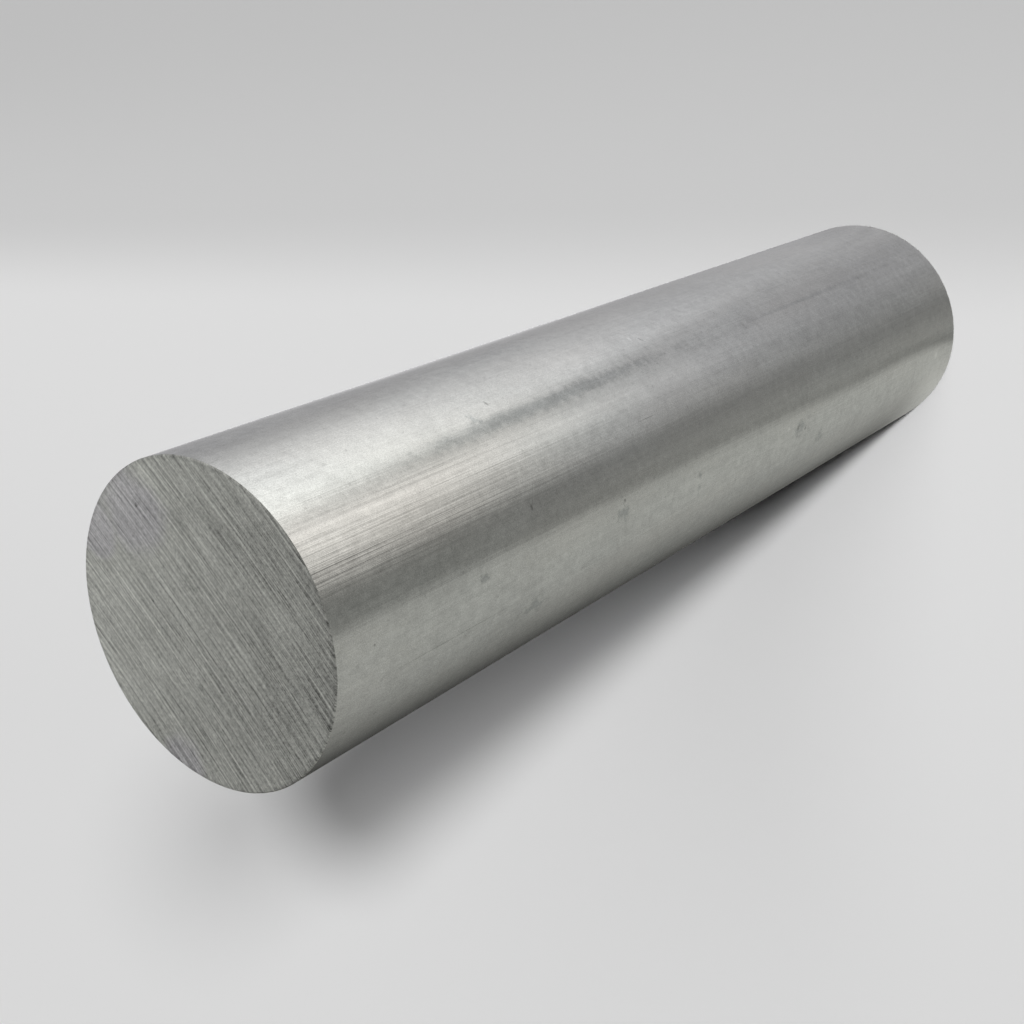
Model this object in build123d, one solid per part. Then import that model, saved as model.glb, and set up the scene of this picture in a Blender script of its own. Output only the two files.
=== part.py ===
"""Round aluminium bar, cut to length: one solid piece of extruded stock with a sawn face at each end.

The bar stands on one sawn face on a level floor, because laid on its side it rolls away. The origin
is at the middle of that face, and +Z runs up the bar's axis. Lengths are in millimetres.
"""
from build123d import *
import os

INCH = 25.4

# Driving dimensions
bar_diameter = 2.75 * INCH      # a stock size of round bar, 2 3/4 in
bar_length = 12.0 * INCH        # a one-foot cut
edge_break = 0.25               # width of the deburred corner round each sawn face

bar_radius = bar_diameter / 2


def bar_half_section():
    """Half of the bar's lengthwise section: from the axis out to the skin, with both corners broken."""
    with BuildSketch(Plane.XZ) as section:
        with BuildLine():
            Polyline(
                (0, 0),
                (bar_radius - edge_break, 0),
                (bar_radius, edge_break),
                (bar_radius, bar_length - edge_break),
                (bar_radius - edge_break, bar_length),
                (0, bar_length),
                close=True,
            )
        make_face()
    return section.sketch


def round_bar():
    """The half-section turned about the bar's axis."""
    return revolve(bar_half_section(), axis=Axis.Z)


os.makedirs("parts", exist_ok=True)
export_step(round_bar(), "parts/round_bar.step")
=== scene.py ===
import math

import bpy
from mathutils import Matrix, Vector


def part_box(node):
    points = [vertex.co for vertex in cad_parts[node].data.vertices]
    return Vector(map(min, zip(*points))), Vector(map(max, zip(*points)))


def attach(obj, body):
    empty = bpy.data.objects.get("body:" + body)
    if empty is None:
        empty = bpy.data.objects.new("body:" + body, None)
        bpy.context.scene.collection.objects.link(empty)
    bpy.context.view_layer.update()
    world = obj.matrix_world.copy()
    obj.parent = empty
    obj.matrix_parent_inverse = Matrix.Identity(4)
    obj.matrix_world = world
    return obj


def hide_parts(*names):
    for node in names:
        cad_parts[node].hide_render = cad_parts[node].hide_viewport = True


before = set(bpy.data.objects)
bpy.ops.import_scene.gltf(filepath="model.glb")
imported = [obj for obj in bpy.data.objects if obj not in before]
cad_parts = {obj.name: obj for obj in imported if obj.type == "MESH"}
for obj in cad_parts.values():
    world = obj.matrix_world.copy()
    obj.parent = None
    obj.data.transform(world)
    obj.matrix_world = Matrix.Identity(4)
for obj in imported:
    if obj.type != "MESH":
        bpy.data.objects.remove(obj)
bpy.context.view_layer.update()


# --- Round bar ------------------------------------------------------------------------------
# One solid length of aluminium, pushed hot through a round die and left with its mill finish.
# A band saw cut it off square at both ends, and a file took the burr off each corner.

class Wire:
    """A socket in a node tree. Sums written on it add Math nodes, and node() adds any other node."""

    def __init__(self, tree, socket=None):
        self.tree, self.socket = tree, socket

    def node(self, kind, settings=None, sockets=None, out=0):
        """Adds a node, with its settings and the values or wires of its sockets, and gives one output."""
        made = self.tree.nodes.new(kind)
        for name, value in (settings or {}).items():
            setattr(made, name, value)
        for name, value in (sockets or {}).items():
            if isinstance(value, Wire):
                self.tree.links.new(value.socket, made.inputs[name])
            else:
                made.inputs[name].default_value = value
        return Wire(self.tree, made.outputs[out] if made.outputs else None)

    def out(self, name):
        """Another output of the node that this socket belongs to."""
        return Wire(self.tree, self.socket.node.outputs[name])

    def sum(self, operation, first, second=0.0, third=0.0):
        return self.node("ShaderNodeMath", {"operation": operation}, {0: first, 1: second, 2: third})

    def __add__(self, other):
        return self.sum("ADD", self, other)

    def __sub__(self, other):
        return self.sum("SUBTRACT", self, other)

    def __rsub__(self, other):
        return self.sum("SUBTRACT", other, self)

    def __mul__(self, other):
        return self.sum("MULTIPLY", self, other)

    def __truediv__(self, other):
        return self.sum("DIVIDE", self, other)

    def __pow__(self, other):
        return self.sum("POWER", self, other)

    __radd__, __rmul__ = __add__, __mul__

    def sin(self):
        return self.sum("SINE", self)

    def cos(self):
        return self.sum("COSINE", self)

    def above(self, limit):
        return self.sum("GREATER_THAN", self, limit)

    def below(self, limit):
        return self.sum("LESS_THAN", self, limit)

    def no_more_than(self, limit):
        return self.sum("MINIMUM", self, limit)

    def no_less_than(self, limit):
        return self.sum("MAXIMUM", self, limit)

    def fade(self, start, end, low=0.0, high=1.0):
        """From low to high, smoothly, as this value goes from start to end."""
        return self.node("ShaderNodeMapRange", {"interpolation_type": "SMOOTHSTEP"}, {
            "Value": self, "From Min": start, "From Max": end, "To Min": low, "To Max": high})

    def vector(self, x, y, z):
        return self.node("ShaderNodeCombineXYZ", sockets={"X": x, "Y": y, "Z": z})

    def parts(self):
        """The x, y and z of a vector."""
        split = self.node("ShaderNodeSeparateXYZ", sockets={"Vector": self})
        return split, split.out("Y"), split.out("Z")

    def stretched(self, x, y, z):
        """This vector with each of its parts multiplied."""
        return self.node("ShaderNodeVectorMath", {"operation": "MULTIPLY"}, {0: self, 1: (x, y, z)})

    def shaded(self, level):
        """This colour, brighter or darker."""
        return self.node("ShaderNodeVectorMath", {"operation": "SCALE"}, {0: self, "Scale": level})

    def choose(self, none, full):
        """The first colour where this value is 0, the second where it is 1, and a mix between."""
        first, second = (c if isinstance(c, Wire) else (*c, 1.0) for c in (none, full))
        return self.node("ShaderNodeMix", {"data_type": "RGBA"}, {0: self, 6: first, 7: second}, out=2)

    def noise(self, place, scale=1.0, detail=2.0, roughness=0.5):
        """A smooth random value, mostly between -1 and 1."""
        made = self.node("ShaderNodeTexNoise", {"noise_dimensions": "3D"}, {
            "Vector": place, "Scale": scale, "Detail": detail, "Roughness": roughness})
        return made * 4 - 2


def saw_marks(wire, along, across, seed):
    """
    The scores that a band saw's teeth leave, mostly between -1 and 1. They follow a wide arc in rows 1.28
    and 2.56 mm apart, and they wander, fade and start again.
    """
    blade_sweep, tooth_row = 0.55, 0.00128
    swept = across + along * along / (2 * blade_sweep)
    wander = wire.noise(wire.vector(along * 18, swept * 60, seed), detail=1.0)
    fading = wire.noise(wire.vector(along * 60, swept * 300, seed + 2), detail=2.0)
    coarse = (swept * (math.pi / tooth_row) + wander * 0.6).sin()
    fine = (swept * (2 * math.pi / tooth_row) + wander * 1.2).sin()
    loose = wire.noise(wire.vector(along * 48, swept * 2500, seed + 5), detail=2.0, roughness=0.6)
    hairs = wire.noise(wire.vector(along * 150, swept * 3400, seed + 4), detail=1.0)
    return (coarse * 0.15 + fine * 0.20) * (fading + 0.9) + loose * 0.90 + hairs * 0.42


_, bar_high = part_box("round_bar")
bar_radius = bar_high.x
bar_length = bar_high.z
steps_round = 1024                 # points round the skin, and so round each face's rim
step_angle = 2 * math.pi / steps_round
bar_sizes = {
    "Radius": bar_radius,
    "Length": bar_length,
    "Edge Break": 0.00025,
    "Saw Depth": 0.00002,          # the middle depth of a score; the deepest is twice this
    # how far the blade's path is turned on each face, in whole steps, so that the rims still meet the skin
    "Upper Cut": -468 * step_angle,
    "Lower Cut": 75 * step_angle,
}

shape = bpy.data.node_groups.new("Round bar", "GeometryNodeTree")
shape.is_modifier = True
shape.interface.new_socket("Geometry", in_out="INPUT", socket_type="NodeSocketGeometry")
shape.interface.new_socket("Geometry", in_out="OUTPUT", socket_type="NodeSocketGeometry")
for name in bar_sizes:
    shape.interface.new_socket(name, in_out="INPUT", socket_type="NodeSocketFloat")

w = Wire(shape)
size = {name: w.node("NodeGroupInput", out=name) for name in bar_sizes}
x, y, _ = w.node("GeometryNodeInputPosition").parts()

# the skin: a sheet rolled into a tube, whose first and last rows are the broken corners
rows = 41
skin_grid = w.node("GeometryNodeMeshGrid", sockets={
    "Size X": 2 * math.pi, "Size Y": float(rows), "Vertices X": steps_round + 1, "Vertices Y": rows + 1})
row = y + rows / 2
skin_radius = size["Radius"] - size["Edge Break"] * (row.below(0.5) + row.above(rows - 0.5))
straight = size["Length"] - size["Edge Break"] * 2
height = size["Edge Break"] + straight * ((row - 1) / (rows - 2))
height = height.no_less_than(0).no_more_than(size["Length"])
skin = w.node("GeometryNodeSetPosition", sockets={
    "Geometry": skin_grid, "Position": w.vector(skin_radius * x.cos(), skin_radius * x.sin(), height)})

# the sawn faces: rows along the saw marks, each as long as the bar is wide there
columns = 40
faces = []
upper_seed, lower_seed = 3, 17
for cut, level, inward, seed in (
        ("Upper Cut", size["Length"], -1, upper_seed),
        ("Lower Cut", 0, 1, lower_seed)):
    face_grid = w.node("GeometryNodeMeshGrid", sockets={
        "Size X": 2.0, "Size Y": math.pi, "Vertices X": columns + 1, "Vertices Y": steps_round // 2 + 1})
    rim = size["Radius"] - size["Edge Break"]
    along = x * y.cos() * rim
    across = y.sin() * rim
    from_middle = (along * along + across * across) ** 0.5
    # the scores run out just inside the rim, which stays flat
    held = from_middle.fade(rim - 0.0006, rim - 0.00002, 1.0, 0.0)
    scored = (saw_marks(w, along, across, seed) + 1).no_less_than(0).no_more_than(2)
    depth = scored * held * size["Saw Depth"]
    turn = size[cut]
    placed = w.vector(along * turn.cos() - across * turn.sin(), along * turn.sin() + across * turn.cos(),
                      level + depth * inward)
    face = w.node("GeometryNodeSetPosition", sockets={"Geometry": face_grid, "Position": placed})
    if inward > 0:
        face = w.node("GeometryNodeFlipFaces", sockets={"Mesh": face})
    faces.append(face)

joined = w.node("GeometryNodeJoinGeometry")
for part in (skin, *faces):
    shape.links.new(part.socket, joined.socket.node.inputs[0])
weld_reach = 2e-6
closed = w.node("GeometryNodeMergeByDistance", sockets={"Geometry": joined, "Distance": weld_reach})
corner = w.node("GeometryNodeInputMeshEdgeAngle").above(math.radians(30))
smooth = w.node("GeometryNodeSetShadeSmooth", {"domain": "FACE"}, {"Geometry": closed, "Shade Smooth": True})
smooth = w.node("GeometryNodeSetShadeSmooth", {"domain": "EDGE"}, {
    "Geometry": smooth, "Selection": corner, "Shade Smooth": False})
real = w.node("GeometryNodeRealizeInstances", sockets={"Geometry": smooth})
_, _, facing = w.node("GeometryNodeInputNormal").parts()
sawn = facing.sum("ABSOLUTE", facing).above(0.5)
mill_skin = bpy.data.materials.new("mill_finish_skin")
sawn_metal = bpy.data.materials.new("sawn_face")
finished = w.node("GeometryNodeSetMaterial", sockets={"Geometry": real, "Material": mill_skin})
finished = w.node("GeometryNodeSetMaterial", sockets={
    "Geometry": finished, "Selection": sawn, "Material": sawn_metal})
w.node("NodeGroupOutput", sockets={"Geometry": finished})

blank = bpy.data.objects.new("round_bar_maker", bpy.data.meshes.new("blank"))
bpy.context.scene.collection.objects.link(blank)
maker = blank.modifiers.new("Round bar", "NODES")
maker.node_group = shape
for item in shape.interface.items_tree:
    if item.item_type == "SOCKET" and item.in_out == "INPUT" and item.name in bar_sizes:
        maker[item.identifier] = bar_sizes[item.name]
evaluated = blank.evaluated_get(bpy.context.evaluated_depsgraph_get())
bar_mesh = bpy.data.meshes.new_from_object(evaluated)
bar_mesh.name = "sawn_round_bar"
blank.modifiers.remove(maker)
bpy.data.objects.remove(blank)
bar = bpy.data.objects.new("sawn_round_bar", bar_mesh)
bpy.context.scene.collection.objects.link(bar)


def metal(material, **levels):
    """Gives a material one metal shader, and sets the levels that are the same all over on it."""
    material.use_nodes = True
    material.node_tree.nodes.clear()
    w = Wire(material.node_tree)
    shader = w.node("ShaderNodeBsdfPrincipled", sockets={"Metallic": 1.0, **levels})
    w.node("ShaderNodeOutputMaterial", sockets={"Surface": shader})
    return w, shader.socket.node.inputs


def feed(inputs, **wires):
    """Links each wire to the shader's socket of that name, where _ stands for a space."""
    for name, wire in wires.items():
        wire.tree.links.new(wire.socket, inputs[name.replace("_", " ")])


def bumpy(wire, micrometres):
    """A normal that follows a relief whose height is in micrometres."""
    return wire.node("ShaderNodeBump", sockets={"Strength": 1.0, "Distance": 1e-6, "Height": micrometres})


# the mill finish: lines drawn by the die, a faint mottle, and dull patches
w, shader = metal(mill_skin, Anisotropic=0.4)
place = w.node("ShaderNodeTexCoord", out="Object")
x, y, z = place.parts()
arc = w.sum("ARCTAN2", y, x) * bar_radius
flat = w.vector(arc, z, 0)         # the skin unrolled
die_lines = w.noise(place.stretched(1300, 1300, 14), detail=3.0, roughness=0.6)
fine_lines = w.noise(place.stretched(4200, 4200, 70), detail=1.0)
grain = w.noise(place, scale=3600, detail=1.0)
mottle = w.noise(place, scale=420, detail=3.0, roughness=0.65)
clouds = w.noise(place, scale=60, detail=3.0)
patches = w.noise(place.stretched(70, 70, 14), detail=2.0)
worn = patches.fade(-0.7, 0.9)


def spots(ragged, *list_of_marks):
    """
    How deep inside any of some marks a point is, from 0 to 1. The first value says how ragged their edges
    are. Each mark has its middle's bearing in degrees and height in metres, its half width round the bar
    and its half height in mm, and its turn in degrees.
    """
    deepest = 0.0
    for bearing, height, half_width, half_height, turned in list_of_marks:
        inside = w.node("ShaderNodeMapping", {"vector_type": "TEXTURE"}, {
            "Vector": flat, "Location": (math.radians(bearing) * bar_radius, height, 0),
            "Rotation": (0, 0, math.radians(turned)),
            "Scale": (half_width / 1000, half_height / 1000, 1)})
        away = w.node("ShaderNodeVectorMath", {"operation": "LENGTH"}, {0: inside}, out="Value")
        deepest = (away + mottle * ragged).fade(1.1, 0.15).no_less_than(deepest)
    return deepest


# knocks from other bars and from chains, sharp and dark at the bottom
knocks = spots(
    0.2, (-113.8, 0.2063, 0.6, 0.5, 0), (-58, 0.2341, 1.0, 0.5, 10), (-99.8, 0.2404, 0.9, 0.5, 0),
    (-55.4, 0.1684, 1.3, 0.45, 20), (-122.5, 0.1165, 1.0, 1.3, 0), (-124.6, 0.112, 0.8, 1.0, 30),
    (-117.8, 0.2941, 0.4, 0.4, 0), (171, 0.259, 0.9, 0.5, -30))
# scratches: one slants across, and the others run along the bar
scratches = spots(
    0.1, (-95.8, 0.2388, 3.3, 0.28, -32), (-85.8, 0.2955, 0.14, 8, 0), (-88.3, 0.189, 0.15, 5, 0),
    (-130.8, 0.272, 0.12, 26, 0), (85, 0.17, 0.13, 30, 0.4))
# smears of dried cutting fluid and dirt
smears = spots(
    1.0, (-123.3, 0.1143, 2.4, 5.0, 8), (-117.8, 0.2072, 2.6, 3.4, 0), (-115.8, 0.2597, 1.3, 1.3, 0),
    (-126.0, 0.1716, 4.0, 0.9, 0), (-133.3, 0.1006, 2.2, 3.0, 0), (-62.3, 0.2414, 2.6, 1.2, 30),
    (-137.3, 0.2408, 2.2, 4.5, 0), (40, 0.21, 4.5, 2.0, 20), (172, 0.16, 4.0, 2.0, 0))
# one long darker streak, which thins out towards the lower end
streak = spots(0.25, (-66.8, 0.215, 2.5, 66, 0.6))
streak = streak.no_less_than(spots(0.25, (-67.2, 0.08, 0.8, 90, 0)) * 0.5)
# dings: dents in the relief, whose colour is painted brighter, a painted highlight where the light catches
# them
dings_and_painted_glints = spots(
    0.15, (-53.3, 0.1716, 1.0, 0.7, 0), (-120.8, 0.1225, 0.8, 1.0, 0), (-124.3, 0.0152, 1.4, 1.6, 0))
# specks of dirt and tiny nicks, one to each 7 mm of the skin at most
nicks = w.node("ShaderNodeTexVoronoi", {"voronoi_dimensions": "2D"}, {
    "Vector": flat, "Scale": 150}, out="Distance")
chance, size_of_nick, _ = nicks.out("Color").parts()
specks = (nicks - size_of_nick * 0.03).fade(0.05, 0.02) * chance.above(0.55)

# the die's lines are deepest towards the upper end, on the side that met the worn part of the die
worn_side = math.radians(-84)
dragged_and_painted_warmth = w.sum("ABSOLUTE", arc / bar_radius - worn_side).fade(0.10, 0.36, 1.0, 0.0) * z.fade(0.20, 0.285)
lines = die_lines * (0.85 + worn * 0.65 + dragged_and_painted_warmth * 4.0)
# in this tone the dings are painted brighter, a painted highlight
tone = (1 + lines * 0.042 + fine_lines * 0.04 + grain * 0.14 + mottle * (0.07 + worn * 0.06) + clouds * 0.05
        - knocks * 0.42 - scratches * 0.28 - smears * 0.14 - streak * 0.22 - specks * 0.12 + dings_and_painted_glints * 0.22)
relief = (lines * 4.8 + fine_lines * 0.6 + grain * 0.4 + mottle * 3.0 + clouds * 14
          - knocks * 16 - scratches * 2 - smears * 3 - specks * 2 - dings_and_painted_glints * 10)
bright, stained = (0.615, 0.619, 0.601), (0.582, 0.601, 0.592)
colour = smears.no_less_than(worn * 0.5).no_less_than(streak).choose(bright, stained)
colour = dragged_and_painted_warmth.choose(colour, colour.stretched(1.045, 1, 1))     # a touch warmer where the die dragged, partly the lines' own brownish tint and partly a painted warm tint of the highlight there
feed(shader,
     Base_Color=colour.shaded(tone),
     Roughness=0.20 + worn * 0.03 + mottle * 0.02 + smears * 0.10 + scratches * 0.10 - dings_and_painted_glints * 0.05,
     Normal=bumpy(w, relief))

# the sawn faces: the same scores as in their relief, and the grain of the torn metal
w, shader = metal(sawn_metal, Roughness=0.42)
place = w.node("ShaderNodeTexCoord", out="Object")
x, y, z = place.parts()
upper = z.above(bar_length / 2)
turn = upper * (bar_sizes["Upper Cut"] - bar_sizes["Lower Cut"]) + bar_sizes["Lower Cut"]
along = x * turn.cos() + y * turn.sin()
across = y * turn.cos() - x * turn.sin()
marks = saw_marks(w, along, across, upper * (upper_seed - lower_seed) + lower_seed)
grain = w.noise(place, scale=2600, detail=2.0, roughness=0.6)
torn = w.noise(place, scale=1000, detail=2.0)
blotches = w.noise(place, scale=75, detail=3.0)
# the rim is darker, most of all on the lower face, where this is painted shade over the pale ring of light
# on the broken corner
rim = ((x * x + y * y) ** 0.5).fade(bar_radius - 0.0011, bar_radius - 0.0004)


def patch(east, north, radius, ragged):
    """How far inside a patch of the upper face a point is, from 0 to 1. Its place and radius are in mm."""
    u = (x - east / 1000) / (radius / 1000)
    v = (y - north / 1000) / (radius / 1000)
    return (u * u + v * v + ragged).fade(1.0, 0.2) * upper


pits = patch(27.35, 2.85, 0.62, grain * 0.3).no_less_than(patch(9.1, 11.0, 0.35, grain * 0.3))
pits = pits.no_less_than(patch(-10.5, 8.8, 1.0, grain * 0.3) * 0.5)
stains = patch(27.0, 4.5, 11, blotches * 0.5).no_less_than(patch(27.5, 17.5, 7, blotches * 0.5))
stains = stains.no_less_than(patch(-23.5, 23.5, 7, blotches * 0.5))
# the faces are painted a little paler towards one side, a painted light gradient
lean = (x * 0.15 + y * 0.131) / bar_radius
tone = (1 + marks * 0.46 + grain * 0.27 + torn * 0.15 + blotches * 0.08 + lean - pits * 0.5
        - rim * (0.43 - 0.3 * upper))
clean_cut, stained_cut = (0.501, 0.507, 0.472), (0.508, 0.502, 0.505)
feed(shader,
     Base_Color=stains.choose(clean_cut, stained_cut).shaded(tone),
     Normal=bumpy(w, marks * 6 + grain * 3))

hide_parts("round_bar")
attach(bar, "root")
bar.visible_diffuse = False        # the polished skin throws no glints on the floor


# --- Floor ------------------------------------------------------------------------------------
# A wide sheet of pale matt paper, which the bar stands on. Its colour holds painted shade: it is painted a
# little darker towards one side, as where such a sheet starts to curl up out of the lamps' light, though
# this sheet stays flat.

floor_reach = 6.0
floor_mesh = bpy.data.meshes.new("floor")
floor_mesh.from_pydata([(-floor_reach, -floor_reach, 0), (floor_reach, -floor_reach, 0),
                        (floor_reach, floor_reach, 0), (-floor_reach, floor_reach, 0)], [], [(0, 1, 2, 3)])
floor = bpy.data.objects.new("floor", floor_mesh)
bpy.context.scene.collection.objects.link(floor)
paper = bpy.data.materials.new("pale_paper")
paper.use_nodes = True
paper.node_tree.nodes.clear()
w = Wire(paper.node_tree)
x, y, _ = w.node("ShaderNodeTexCoord", out="Object").parts()
shade_line_bearing, shade_line_start = math.radians(-25), 0.028
beyond = x * math.cos(shade_line_bearing) + y * math.sin(shade_line_bearing) - shade_line_start
# painted light and shade: the paper is painted a touch brighter up to a soft line, and painted darker beyond
# it
paper_and_painted_light = beyond.fade(-0.30, -0.03, 0.785, 0.82)
painted_shade_beyond = beyond.fade(-0.03, 0.016, 1, 0.815) * beyond.fade(0.0, 0.12, 1, 0.88)
pale = paper_and_painted_light * painted_shade_beyond
matt = w.node("ShaderNodeBsdfDiffuse", sockets={"Color": w.vector(1, 1, 1).shaded(pale)})
w.node("ShaderNodeOutputMaterial", sockets={"Surface": matt})
floor_mesh.materials.append(paper)


# --- Light tent ---------------------------------------------------------------------------------
# A funnel of diffusing cloth, sewn from eleven panels with an opening at the back. It stands round the bar
# and is lit from outside, so that the polished skin has soft bands to reflect. Two lamps stand close behind
# it. Only reflections see it.

tent_foot = bar_radius + 0.0002
tent_flare = 0.40                  # how far it widens for each metre of height
tent_height = bar_length * 1.15
around, up = 180, 12
points, quads = [], []
for j in range(up + 1):
    level = tent_height * j / up
    reach = tent_foot + tent_flare * level
    for i in range(around):
        turned = 2 * math.pi * i / around
        points.append((reach * math.cos(turned), reach * math.sin(turned), level))
for j in range(up):
    for i in range(around):
        here, beside = j * around + i, j * around + (i + 1) % around
        quads.append((here, here + around, beside + around, beside))
tent_mesh = bpy.data.meshes.new("light_tent")
tent_mesh.from_pydata(points, [], quads)
tent = bpy.data.objects.new("light_tent", tent_mesh)
bpy.context.scene.collection.objects.link(tent)
cloth = bpy.data.materials.new("lit_cloth")
cloth.use_nodes = True
cloth.node_tree.nodes.clear()
w = Wire(cloth.node_tree)
x, y, z = w.node("ShaderNodeTexCoord", out="Object").parts()
# degrees round the tent, from its opening at the back and on past the left, front and right
opening = 100
bearing = w.sum("WRAP", w.sum("ARCTAN2", y, x) * (180 / math.pi) - opening, 360, 0) + opening
# the seams gather a little towards the front just above the floor
front = 290
bearing = (bearing - front) * z.fade(0.05, 0.0, 1.0, 1.14) + front
dark_opening = (0.05, 0.045)
# each panel's first edge at the foot and at the top of the tent, how soft that edge is, all in degrees,
# and how bright the cloth is at the foot and at the top
panels = [
    (184, 155, 44, 0.50, 0.48),
    (231, 238, 3.5, 0.275, 0.19),
    (238, 243, 4, 0.33, 0.235),
    (250, 250, 8, 0.26, 0.20),
    (266, 266, 9, 0.36, 0.76),
    (284, 283, 5, 0.42, 1.22),
    (300, 298, 4, 0.42, 0.83),
    (316, 298, 10, 0.49, 0.78),
    (334, 292, 4, 0.56, 1.44),
    (354, 352, 32, 0.44, 0.42),
    (388, 434, 6, 0.75, 0.90),
    (445, 445, 14, *dark_opening),
]
foot, top = before = dark_opening
for edge_foot, edge_top, soft, low, high in panels:
    edge = z * ((edge_top - edge_foot) / tent_height) + edge_foot
    past = ((bearing - edge) / (2 * soft) + 0.5).fade(0, 1)
    foot = past * (low - before[0]) + foot
    top = past * (high - before[1]) + top
    before = (low, high)
# just above the floor the cloth is a little brighter at the back left, and a little darker at the right
floor_light = bearing.fade(98, 145) * bearing.fade(228, 195) * z.fade(0.016, 0.001) * 0.185
floor_shade = bearing.fade(318, 345) * bearing.fade(375, 350) * z.fade(0.026, 0.001) * 0.10


def lamp_behind(level, half_height, middle, half_width):
    """How near a point of the cloth is to the middle of a lamp that stands close behind it, from 0 to 1."""
    u = (z - level) / half_height
    v = (bearing - middle) / half_width
    return (u * u + v * v).fade(1.0, 0.0)


close_lamps = lamp_behind(0.11, 0.10, 416, 24) * 0.34 + lamp_behind(0.165, 0.05, 292, 8) * 0.22
lit = (foot + (top - foot) * z.fade(0.03, 0.26)) * (close_lamps + 1) + floor_light - floor_shade
warm = bearing.fade(300, 225).no_less_than(z.fade(0.08, 0.20) * bearing.fade(400, 265))
cool_light, warm_light = (1.012, 1.0, 1.028), (0.998, 1.0, 0.945)
glow = warm.choose(cool_light, warm_light).shaded(lit)
shining = w.node("ShaderNodeEmission", sockets={"Color": glow, "Strength": 1.0})
w.node("ShaderNodeOutputMaterial", sockets={"Surface": shining})
tent_mesh.materials.append(cloth)
tent.visible_camera = tent.visible_diffuse = tent.visible_transmission = False
tent.visible_shadow = tent.visible_volume_scatter = False


# --- Lamps and camera ---------------------------------------------------------------------------
# A pale room, with three lamps in front of the bar: a key lamp, one a little lower, and a broad fill. Only
# the room and the tent show in the metal.

world = bpy.data.worlds.new("pale_room")
world.use_nodes = True
world.node_tree.nodes.clear()
w = Wire(world.node_tree)
ray = w.node("ShaderNodeLightPath", out="Is Camera Ray")
seen = ray.no_less_than(ray.out("Is Glossy Ray")).no_less_than(ray.out("Is Transmission Ray"))
_, _, rise = w.node("ShaderNodeTexCoord", out="Generated").parts()
walls_and_ceiling = rise.fade(0.25, 1.0, 0.76, 0.25)
light_from_room = 0.01
room = w.node("ShaderNodeBackground", sockets={
    "Color": (1, 1, 1, 1), "Strength": seen * walls_and_ceiling + (1 - seen) * light_from_room})
w.node("ShaderNodeOutputWorld", sockets={"Surface": room})
bpy.context.scene.world = world

# each lamp's bearing, its height and the width of its light, all in degrees, and its strength
lamps = (("key", -73, 38, 6, 2.22), ("low", -77, 30, 9, 1.62), ("fill", -50, 46, 35, 0.75))
for name, lamp_bearing, lamp_height, spread, energy in lamps:
    lamp_data = bpy.data.lights.new(name, "SUN")
    lamp_data.angle = math.radians(spread)
    lamp_data.energy = energy
    lamp_data.cycles.use_multiple_importance_sampling = False      # nothing mirrors the lamps
    lamp = bpy.data.objects.new(name, lamp_data)
    bpy.context.scene.collection.objects.link(lamp)
    toward, lift = math.radians(lamp_bearing), math.radians(lamp_height)
    where = Vector((math.cos(toward) * math.cos(lift), math.sin(toward) * math.cos(lift), math.sin(lift)))
    lamp.rotation_euler = where.to_track_quat("Z", "Y").to_euler()
    lamp.visible_glossy = False

# in front of the bar and above it, and rolled until the standing bar reaches away into the upper right
camera_ahead, camera_above = 6.845 * bar_radius, 5.077 * bar_radius
camera_turn = (-20.799, 36.197, -121.335)
camera_data = bpy.data.cameras.new("camera")
camera_data.sensor_width = 36
camera_data.lens = 52.541
camera = bpy.data.objects.new("camera", camera_data)
bpy.context.scene.collection.objects.link(camera)
camera.location = (0, -camera_ahead, bar_length + camera_above)
camera.rotation_euler = tuple(math.radians(angle) for angle in camera_turn)
bpy.context.scene.camera = camera
bpy.context.scene.view_settings.view_transform = "Standard"
